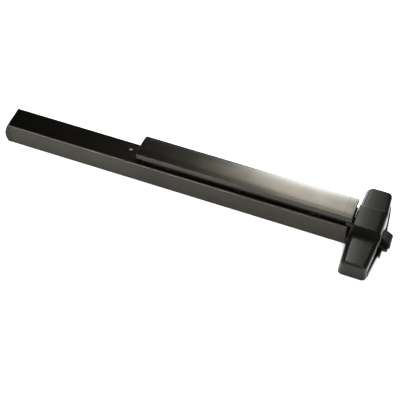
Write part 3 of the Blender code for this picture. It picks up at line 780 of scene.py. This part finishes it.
# The cap bulges most at its nose. From there its face turns back to the shoulder above, where
# it meets the front of the case, and a little at its foot.
CAP_NOSE_Z = 21.0 * MM
CAP_SHOULDER_X = -833.2 * MM
CAP_FOOT_BACK = 4.5 * MM
CAP_CUTS_ABOVE = 8
CAP_CUTS_BELOW = 5
CAP_EDGE = 1.6 * MM
CAP_PLAIN_RIM = 2 * MM
CAP_WALL = 2.4 * MM
CAP_SEAT_DEPTH = 2.0 * MM
CAP_SEAT_HOLE = 4.4 * MM
CAP_SCREW_HOLE = 2.6 * MM
CAP_CUT = mm(-850, -830)


class EXITBAR_OT_case(bpy.types.Operator):
    """The extruded channel that holds the mechanism"""

    bl_idname = "exitbar.case"
    bl_label = "Mechanism case"

    def execute(self, context):
        sizes = context.scene.exit_bar_case
        obj = add_box("case_extrusion", CASE_LOW, CASE_HIGH)
        half = CASE_HIGH.y
        top = CASE_HIGH.z
        with editing(obj):
            pick("FACE", lambda face: abs(face.normal.x) > 0.9 or face.normal.z > 0.9)
            bpy.ops.mesh.delete(type="FACE")
            for side in (1, -1):
                pick("EDGE", line_at(side * half, top))
                extrude(y=-side * sizes.lip_width)
                extrude(z=-sizes.wall)
                extrude(y=-side * LIP_RETURN)
            pick("EDGE", line_at(half - sizes.lip_width, top, both_sides=True))
            round_off(LIP_NOSE, 2)
            pick("EDGE", line_at(half, top, both_sides=True))
            round_off(sizes.edge_radius, 6)
            pick("EDGE", line_at(half, CASE_LOW.z, both_sides=True))
            round_off(CASE_BACK_EDGE, 3)
        turn_out(obj)
        wall(obj, sizes.wall)
        for y in (END_SCREW_Y, -END_SCREW_Y):
            start, end = ((END_SCREW_X, y, z) for z in BACK_CUT)
            combine(obj, add_rod("hole", start, end, END_SCREW_HOLE, 32), "DIFFERENCE")
        shade(obj)
        hand_over(obj, "base", "bronze", ["mechanism_case"])
        return {"FINISHED"}


class EXITBAR_OT_cover_plate(bpy.types.Operator):
    """The plate between the case's lips, with its key hole"""

    bl_idname = "exitbar.cover_plate"
    bl_label = "Cover plate"

    def execute(self, context):
        obj = add_box("cover_plate_extrusion", COVER_LOW, COVER_HIGH)
        start, end = ((KEY_HOLE_X, KEY_HOLE_Y, z) for z in KEY_HOLE_CUT)
        combine(obj, add_rod("hole", start, end, KEY_HOLE, 64), "DIFFERENCE")
        soften(obj, COVER_EDGE)
        shade(obj)
        hand_over(obj, "base", "bronze", ["cover_plate"])
        return {"FINISHED"}


def cap_back(z):
    """How far back from the nose the cap's face stands at this height."""
    if z >= CAP_NOSE_Z:
        turn = (1 - (z - CAP_NOSE_Z) / (CAP_HIGH.z - CAP_NOSE_Z)) * math.pi / 2
        return (CAP_SHOULDER_X - CAP_LOW.x) * (1 - math.sin(turn))
    turn = (CAP_NOSE_Z - z) / (CAP_NOSE_Z - CAP_LOW.z) * math.pi / 2
    return CAP_FOOT_BACK * (1 - math.cos(turn))


class EXITBAR_OT_end_cap(bpy.types.Operator):
    """The bulged cap at the hinge end of the case"""

    bl_idname = "exitbar.end_cap"
    bl_label = "Hinge-side end cap"

    def execute(self, context):
        obj = add_box("end_cap_casting", CAP_LOW, CAP_HIGH)
        above = (CAP_HIGH.z - CAP_NOSE_Z, CAP_CUTS_ABOVE)
        below = (CAP_NOSE_Z - CAP_LOW.z, CAP_CUTS_BELOW)
        heights = [CAP_NOSE_Z + above[0] * k / above[1] for k in range(above[1])]
        heights += [CAP_LOW.z + below[0] * k / below[1] for k in range(1, below[1])]
        corner = line_at(CAP_HIGH.y, CAP_HIGH.z, both_sides=True)
        with editing(obj):
            pick("EDGE", lambda edge: corner(edge) and not runs(edge, 1))
            round_off(context.scene.exit_bar_case.edge_radius, 5)
            for z in heights:
                cut_at(2, z)
        levels = sorted({round(vert.co.z, 6) for vert in obj.data.vertices})
        proud = lambda co: co.x < CAP_HIGH.x - CAP_PLAIN_RIM
        with editing(obj):
            for z in levels:
                pick("VERT", lambda v, z=z: near(v.co.z, z, WELD) and near(v.co.x, CAP_LOW.x))
                shift(x=cap_back(z))
            pick("EDGE", lambda edge: both_ends(edge, proud) and folds(edge, 0.5))
            round_off(CAP_EDGE, 4)
            pick("FACE", lambda face: face.normal.x > 0.9)
            bpy.ops.mesh.delete(type="FACE")
        wall(obj, CAP_WALL)
        start, end = ((x, 0, CAP_NOSE_Z) for x in CAP_CUT)
        seat_end = (CAP_LOW.x + CAP_SEAT_DEPTH, 0, CAP_NOSE_Z)
        combine(obj, add_rod("seat", start, seat_end, CAP_SEAT_HOLE), "DIFFERENCE")
        combine(obj, add_rod("hole", start, end, CAP_SCREW_HOLE, 32), "DIFFERENCE")
        shade(obj)
        hand_over(obj, "base", "paint", ["end_cap"])
        return {"FINISHED"}


# --- the push pad ------------------------------------------------------------

PAD_STRIPS = 14
SKIRT_WIDTH = 6.0 * MM
SKIRT_EDGE = 1.6 * MM
PAD_CAP_EDGE = 1.4 * MM
# The opening in the latch-side cap, through which the pad passes over the filler.
OPENING_REACH = 6 * MM
OPENING_TOP = 88.2 * MM


def crowned_skin(name, left, right, closed, sizes):
    """The pad's section as an open skin: a crowned front and two side walls.

    closed is "left" or "right" for the end face that stays, or None.
    """
    half = PAD_HIGH.y
    shoulder = PAD_HIGH.z - sizes.crown
    chord = half - sizes.edge_radius
    radius = (chord**2 + sizes.crown**2) / (2 * sizes.crown)
    strips = [-half + 2 * half * k / PAD_STRIPS for k in range(1, PAD_STRIPS)]
    obj = add_box(name, (left, -half, PAD_LOW.z), (right, half, shoulder))
    with editing(obj):
        unwanted = [faces_along(z=-1)]
        unwanted += [faces_along(x=1)] if closed != "right" else []
        unwanted += [faces_along(x=-1)] if closed != "left" else []
        pick("FACE", lambda face: any(test(face) for test in unwanted))
        bpy.ops.mesh.delete(type="FACE")
        for y in strips:
            cut_at(1, y)
        for y in strips:
            rise = math.sqrt(radius**2 - min(abs(y), chord) ** 2) - (radius - sizes.crown)
            pick("VERT", lambda v, y=y: near(v.co.y, y) and near(v.co.z, shoulder))
            shift(z=rise)
        rim = line_at(half, shoulder, both_sides=True)
        pick("EDGE", lambda edge: rim(edge) and runs(edge, 0))
        round_off(sizes.edge_radius, 4)
    return obj


def roll_skirts(obj):
    """Turns the side walls in under the pad."""
    half = PAD_HIGH.y
    with editing(obj):
        for side in (1, -1):
            pick("EDGE", line_at(side * half, PAD_LOW.z))
            extrude(y=-side * SKIRT_WIDTH)
        pick("EDGE", line_at(half, PAD_LOW.z, both_sides=True))
        round_off(SKIRT_EDGE, 4)


class EXITBAR_OT_push_pad(bpy.types.Operator):
    """The crowned pad that is pushed"""

    bl_idname = "exitbar.push_pad"
    bl_label = "Push pad"

    def execute(self, context):
        sizes = context.scene.exit_bar_pad
        obj = crowned_skin("push_pad_extrusion", PAD_LOW.x, PAD_HIGH.x, None, sizes)
        roll_skirts(obj)
        turn_out(obj)
        wall(obj, sizes.wall)
        shade(obj)
        hand_over(obj, "push_bar", "bronze", ["push_pad"])
        return {"FINISHED"}


class EXITBAR_OT_pad_caps(bpy.types.Operator):
    """The two end caps of the pad; the latch-side one is open below, to pass over the filler"""

    bl_idname = "exitbar.pad_caps"
    bl_label = "Pad end caps"

    def execute(self, context):
        sizes = context.scene.exit_bar_pad
        for side, node in (("left", "pad_end_cap_hinge"), ("right", "pad_end_cap_latch")):
            low, high = node_box(node)
            obj = crowned_skin(node + "_moulding", low.x, high.x, side, sizes)
            end = low.x if side == "left" else high.x
            rim = lambda co, end=end: near(co.x, end) and co.z > PAD_LOW.z + MM
            with editing(obj):
                pick("EDGE", lambda edge: both_ends(edge, rim) and folds(edge, 0.6))
                round_off(PAD_CAP_EDGE, 4)
            turn_out(obj)
            wall(obj, sizes.wall)
            if side == "right":
                inner = PAD_HIGH.y - sizes.wall
                corner = (end - OPENING_REACH, -inner, PAD_LOW.z - 2 * MM)
                opposite = (end + OPENING_REACH, inner, OPENING_TOP)
                combine(obj, add_box("opening", corner, opposite), "DIFFERENCE")
            shade(obj)
            hand_over(obj, "push_bar", "bronze", [node])
        return {"FINISHED"}


# --- the head ----------------------------------------------------------------

# A lobe's section beside the raised middle and at the lobe's end: how far its foot stands in
# on the left and the right, where its walls stand at the shoulder and at the top, and how far
# the top drops.
LOBE_SECTIONS = (
    {"foot": mm(1.0, 0.0), "shoulder": mm(-31.5, 35.7), "top": mm(-23.5, 35.0), "drop": 0.0},
    {"foot": mm(5.5, 7.5), "shoulder": mm(-28.0, 29.0), "top": mm(-19.5, 28.5), "drop": 4.0 * MM},
)
MIDDLE_FOOT_OUT = 1.0 * MM
MIDDLE_TOP = mm(-27.0, 35.5)
# Each edge's rounding as a share of the widest one on its block.
LOBE_ROUNDING = {"latch": 0.9, "case": 0.3, "shoulder": 0.3, "end": 0.55, "corner": 1.0}
MIDDLE_ROUNDING = {"latch": 1.0, "case": 0.2, "side": 0.13, "corner": 0.13}
# How far the cutter for the hollow runs out at the back.
HOLLOW_REACH = 6 * MM
# What passes through the cover's walls: the case, the latch in its guide and the base plate.
HEAD_WAYS = {
    "case_way": (mm(-45, -19, 4), mm(-20, 19, 55.5)),
    "latch_way": (mm(15, -23.3, -2), mm(50, 13.1, 38.5)),
    "plate_way": (mm(20, -94.4, -2), mm(50, 94.4, 3.3)),
}
COVER_SCREW_CUT = (mm(0, 99, 12), mm(0, 109, 12))
COVER_SCREW_HOLE = 2.5 * MM


def weigh(share, test):
    """Marks the edges that pass the test with their share of the bevel's full width."""
    pick("EDGE", test)
    bpy.ops.transform.edge_bevelweight(value=share)


def bevel_marked(obj, width, segments):
    apply_modifier(
        obj,
        "BEVEL",
        width=width,
        segments=segments,
        limit_method="WEIGHT",
        affect="EDGES",
        miter_outer="MITER_SHARP",
    )


def move_corner(x, z, to_x, to_z, y=None):
    """Moves the vertices at this x and z, and this far from the centre line if y is given."""
    here = lambda v: near(v.co.x, x) and near(v.co.z, z) and (y is None or near(abs(v.co.y), y))
    pick("VERT", here)
    shift(x=to_x - x, z=to_z - z)


def lobes_block(name, inset, head):
    """The head's two lobes as one solid, set in by the wall for the hollow."""
    half = HEAD_HIGH.y - inset
    middle = head.middle_half
    low = HEAD_LOW.z - HOLLOW_REACH if inset else HEAD_LOW.z
    left, right = HEAD_LOW.x + inset, HEAD_HIGH.x - inset
    top = head.lobe_height - inset
    shoulder = head.shoulder_height - 0.6 * inset
    share = LOBE_ROUNDING
    obj = add_box(name, (left, -half, low), (right, half, top))
    with editing(obj):
        cut_at(1, -middle)
        cut_at(1, middle)
        cut_at(2, shoulder)
        for y, section in zip((middle, half), LOBE_SECTIONS):
            foot_left, foot_right = section["foot"]
            move_corner(left, low, left + foot_left, low, y)
            move_corner(right, low, right - foot_right, low, y)
            for level, z, drop in (("shoulder", shoulder, 0.0), ("top", top, section["drop"])):
                wall_left, wall_right = section[level]
                move_corner(left, z, wall_left + inset, z - drop, y)
                move_corner(right, z, wall_right - inset, z - drop, y)
        upper = lambda co: co.z > top - 5 * MM
        ridge = lambda edge: both_ends(edge, upper) and runs(edge, 1)
        bend = lambda co: near(co.z, shoulder) and co.x < 0
        end = lambda co: near(abs(co.y), half)
        weigh(share["latch"], lambda edge: ridge(edge) and edge.verts[0].co.x > 0)
        weigh(share["case"], lambda edge: ridge(edge) and edge.verts[0].co.x < 0)
        weigh(share["shoulder"], lambda edge: both_ends(edge, bend) and runs(edge, 1))
        weigh(share["end"], lambda edge: both_ends(edge, end) and both_ends(edge, upper))
        weigh(share["corner"], lambda edge: both_ends(edge, end) and runs(edge, 2, 5 * MM))
    bevel_marked(obj, head.lobe_corner - 0.8 * inset, 8)
    return obj


def middle_block(name, inset, head):
    """The raised middle of the head, with its broad rounding towards the latch."""
    half = head.middle_half - inset
    low = HEAD_LOW.z - HOLLOW_REACH if inset else HEAD_LOW.z
    left, right = HEAD_LOW.x + inset, HEAD_HIGH.x - inset
    top = head.middle_height - inset
    share = MIDDLE_ROUNDING
    obj = add_box(name, (left, -half, low), (right, half, top))
    with editing(obj):
        move_corner(left, low, left - MIDDLE_FOOT_OUT + 0.5 * inset, low)
        move_corner(left, top, MIDDLE_TOP[0] + inset, top)
        move_corner(right, top, MIDDLE_TOP[1] - inset, top)
        upper = lambda edge: both_ends(edge, lambda co: near(co.z, top))
        ridge = lambda edge: upper(edge) and runs(edge, 1)
        weigh(share["latch"], lambda edge: ridge(edge) and edge.verts[0].co.x > 0)
        weigh(share["case"], lambda edge: ridge(edge) and edge.verts[0].co.x < 0)
        weigh(share["side"], lambda edge: upper(edge) and not runs(edge, 1))
        weigh(share["corner"], lambda edge: runs(edge, 2, 20 * MM))
    bevel_marked(obj, head.middle_edge - 0.8 * inset, 9)
    return obj


def head_solid(name, inset, head):
    obj = lobes_block(name, inset, head)
    combine(obj, middle_block("middle", inset, head), "UNION")
    return obj


class EXITBAR_OT_head_cover(bpy.types.Operator):
    """The cast cover: a raised middle between two lobes, hollow and open at the back"""

    bl_idname = "exitbar.head_cover"
    bl_label = "Head cover"

    def execute(self, context):
        head = context.scene.exit_bar_head
        obj = head_solid("head_cover_casting", 0.0, head)
        combine(obj, head_solid("hollow", head.wall, head), "DIFFERENCE")
        for name, (low, high) in HEAD_WAYS.items():
            combine(obj, add_box(name, low, high), "DIFFERENCE")
        hole = add_rod("hole", *COVER_SCREW_CUT, COVER_SCREW_HOLE, 32)
        combine(obj, hole, "DIFFERENCE")
        shade(obj, 30)
        hand_over(obj, "base", "paint", ["head_cover"])
        return {"FINISHED"}


# --- the latch side and the mechanism ----------------------------------------


def refined(node, finish, edge):
    """A merged copy of a CAD node, with flat faces made whole, and edges broken if edge isn't 0."""
    source = frame["nodes"][node]
    obj = bpy.data.objects.new(node + "_finished", source.data.copy())
    bpy.context.scene.collection.objects.link(obj)
    with editing(obj):
        bpy.ops.mesh.select_all(action="SELECT")
        bpy.ops.mesh.remove_doubles(threshold=WELD)
        bpy.ops.mesh.dissolve_limited(angle_limit=math.radians(1.5))
        bpy.ops.mesh.normals_make_consistent(inside=False)
    if edge:
        soften(obj, edge)
        with editing(obj):
            bpy.ops.mesh.select_all(action="SELECT")
            bpy.ops.mesh.dissolve_degenerate(threshold=SLIVER)
    shade(obj, 35 if edge else 60)
    hand_over(obj, source["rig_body"], finish, [node])
    return obj


class EXITBAR_OT_filler(bpy.types.Operator):
    """The block that closes the case front beside the head"""

    bl_idname = "exitbar.filler"
    bl_label = "Latch-side filler"

    def execute(self, context):
        refined("latch_side_filler", "paint", 0.5 * MM)
        return {"FINISHED"}


class EXITBAR_OT_latch_side(bpy.types.Operator):
    """The ribbed bolt, the deadlatch under it, the guide round them and the base plate's flange"""

    bl_idname = "exitbar.latch_side"
    bl_label = "Latch side"

    def execute(self, context):
        refined("latch_bolt", "black", 0.35 * MM)
        refined("deadlatch", "black", 0.35 * MM)
        refined("latch_edge_guide", "black", 0.3 * MM)
        refined("head_chassis", "paint", 0.3 * MM)
        return {"FINISHED"}


# By finish: each inner part, and by how many millimetres its edges are broken.
MECHANISM = {
    "black": {"end_cap_screw": 0.2, "cover_screw": 0.2, "push_rail": 0.4},
    "zinc": {
        "bell_crank_hinge": 0.3,
        "bell_crank_latch": 0.3,
        "control_rod": 0.3,
        "crank_bracket_hinge": 0.3,
        "crank_bracket_latch": 0.3,
        "dogging_bracket": 0.3,
        "dogging_catch": 0.3,
        "dogging_hook": 0.3,
        "end_bracket": 0.3,
        "end_mount_screw_lower": 0.2,
        "end_mount_screw_upper": 0.2,
        "head_mount_screw_lower_left": 0.2,
        "head_mount_screw_lower_right": 0.2,
        "head_mount_screw_upper_left": 0.2,
        "head_mount_screw_upper_right": 0.2,
        "latch_housing": 0.3,
        "retractor_lever": 0.3,
        "rod_guide": 0.3,
    },
    "steel": {
        "crank_pivot_pin_hinge": 0.25,
        "crank_pivot_pin_latch": 0.25,
        "deadlatch_spring": 0,
        "dogging_screw": 0.2,
        "latch_spring": 0,
        "lever_bolt_pin": 0.25,
        "lever_pivot_pin": 0.25,
        "lever_rod_pin": 0.25,
        "rail_pin_hinge": 0.25,
        "rail_pin_latch": 0.25,
        "rod_collar": 0.25,
        "rod_pin_hinge": 0.25,
        "rod_pin_latch": 0.25,
        "rod_spring": 0,
    },
    "rubber": {"rail_bumper_hinge": 0.8, "rail_bumper_latch": 0.8},
}
# Each spring's left end rests on something fixed, and this joint presses on its right end.
SPRINGS = {
    "rod_spring": "control_rod_travel",
    "latch_spring": "latch_travel",
    "deadlatch_spring": "deadlatch_travel",
}


def shorten(obj):
    """Gives a spring a mesh of its own."""
    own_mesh(obj)


class EXITBAR_OT_mechanism(bpy.types.Operator):
    """The parts inside the case and the head"""

    bl_idname = "exitbar.mechanism"
    bl_label = "Mechanism"

    def execute(self, context):
        for finish, edges in MECHANISM.items():
            for node, edge in edges.items():
                obj = refined(node, finish, edge * MM)
                if node in SPRINGS:
                    shorten(obj)
        # Every CAD node is replaced by now. Each still carries a finish of its own.
        made = finishes(context.scene.exit_bar_finishes)
        for node in frame["nodes"].values():
            node.data.materials.clear()
            node.data.materials.append(made["zinc"])
        return {"FINISHED"}


# --- the stage ---------------------------------------------------------------

FLOOR_CENTRE = (-0.4, 0, -0.0003)
FLOOR_SIZE = 24
SOFTBOX_COLOUR = (0.9, 0.96, 1.0)
SOFTBOXES = {
    # A tall box behind the bar, mirrored in the pad's crown and in the top of the head.
    "back_softbox": {
        "location": (-0.275, 0.65, 0.72),
        "target": (-0.275, 0, 0.09),
        "size": (0.33, 1.8),
        "power": 54,
    },
    # A long strip low in front, mirrored in the case's lower side.
    "front_strip": {
        "location": (-1.25, -2.0, 0.48),
        "target": (-0.5, 0, 0.06),
        "size": (1.9, 0.08),
        "power": 90,
    },
}
FRONT_LIGHT_POWER = 4.4
FRONT_LIGHT_WIDTH = math.radians(30)
ROOM_COLOUR = (0.9, 0.9, 0.9, 1)
ROOM_POWER = 0.10
SENSOR_WIDTH = 36


def link_new(name, data):
    """A new light or camera, linked to the scene."""
    obj = bpy.data.objects.new(name, data)
    bpy.context.scene.collection.objects.link(obj)
    return obj


def add_softbox(name, location, target, size, power):
    data = bpy.data.lights.new(name, "AREA")
    data.shape = "RECTANGLE"
    data.size, data.size_y = size
    data.energy = power
    data.color = SOFTBOX_COLOUR
    light = link_new(name, data)
    light.location = location
    way = Vector(target) - Vector(location)
    light.rotation_euler = way.to_track_quat("-Z", "Y").to_euler()
    light.visible_camera = False


def camera_way(stage):
    """From the camera's target towards the camera."""
    flat = math.cos(stage.elevation)
    x, y = math.sin(stage.azimuth) * flat, -math.cos(stage.azimuth) * flat
    return Vector((x, y, math.sin(stage.elevation)))


class EXITBAR_OT_stage(bpy.types.Operator):
    """A pale floor, softboxes and the camera"""

    bl_idname = "exitbar.stage"
    bl_label = "Stage"

    def execute(self, context):
        stage = context.scene.exit_bar_stage
        bpy.ops.object.select_all(action="DESELECT")
        bpy.ops.mesh.primitive_plane_add(size=1, location=FLOOR_CENTRE)
        floor = keep_as("floor")
        with editing(floor):
            bpy.ops.mesh.select_all(action="SELECT")
            size = (FLOOR_SIZE, FLOOR_SIZE, 1)
            bpy.ops.transform.resize(value=size, center_override=FLOOR_CENTRE)
        floor.data.materials.append(studio_floor(stage.floor))
        for name, settings in SOFTBOXES.items():
            add_softbox(name, **settings)
        self.add_front_light(stage)
        world = bpy.data.worlds.new("studio")
        world.use_nodes = True
        background = world.node_tree.nodes["Background"]
        background.inputs["Color"].default_value = ROOM_COLOUR
        background.inputs["Strength"].default_value = ROOM_POWER
        context.scene.world = world
        context.scene.view_settings.view_transform = "Standard"
        self.add_camera(context, stage)
        return {"FINISHED"}

    def add_front_light(self, stage):
        """A broad light from the camera's side, which leaves no shadow in view."""
        data = bpy.data.lights.new("front_light", "SUN")
        data.energy = FRONT_LIGHT_POWER
        data.angle = FRONT_LIGHT_WIDTH
        light = link_new("front_light", data)
        light.rotation_euler = camera_way(stage).to_track_quat("Z", "Y").to_euler()

    def add_camera(self, context, stage):
        way = camera_way(stage)
        data = bpy.data.cameras.new("camera")
        data.lens = stage.lens
        data.sensor_width = SENSOR_WIDTH
        camera = link_new("camera", data)
        camera.location = Vector(stage.target) + way * stage.distance
        camera.rotation_euler = way.to_track_quat("Z", "Y").to_euler()
        context.scene.camera = camera


# --- panel and registration --------------------------------------------------


class EXITBAR_PT_panel(bpy.types.Panel):
    """Lists the pieces in the order they are built"""

    bl_idname = "EXITBAR_PT_panel"
    bl_label = "Panic Exit Bar"
    bl_space_type = "VIEW_3D"
    bl_region_type = "UI"
    bl_category = "Exit Bar"

    def draw(self, context):
        layout = self.layout
        for name in GROUPS:
            settings = getattr(context.scene, name)
            box = layout.box()
            for prop in settings.__annotations__:
                box.prop(settings, prop)
        for operator in OPERATORS:
            layout.operator(operator.bl_idname)


GROUPS = {
    "exit_bar_case": ExitBarCase,
    "exit_bar_pad": ExitBarPad,
    "exit_bar_head": ExitBarHead,
    "exit_bar_finishes": ExitBarFinishes,
    "exit_bar_stage": ExitBarStage,
}
OPERATORS = (
    EXITBAR_OT_case,
    EXITBAR_OT_cover_plate,
    EXITBAR_OT_end_cap,
    EXITBAR_OT_push_pad,
    EXITBAR_OT_pad_caps,
    EXITBAR_OT_head_cover,
    EXITBAR_OT_filler,
    EXITBAR_OT_latch_side,
    EXITBAR_OT_mechanism,
    EXITBAR_OT_stage,
)


def register():
    for cls in (*GROUPS.values(), *OPERATORS, EXITBAR_PT_panel):
        bpy.utils.register_class(cls)
    for name, cls in GROUPS.items():
        setattr(bpy.types.Scene, name, bpy.props.PointerProperty(type=cls))


def unregister():
    for name in GROUPS:
        delattr(bpy.types.Scene, name)
    for cls in (EXITBAR_PT_panel, *reversed(OPERATORS), *GROUPS.values()):
        bpy.utils.unregister_class(cls)


def main():
    register()
    for operator in OPERATORS:
        group, name = operator.bl_idname.split(".")
        getattr(getattr(bpy.ops, group), name)()


if __name__ == "__main__":
    main()
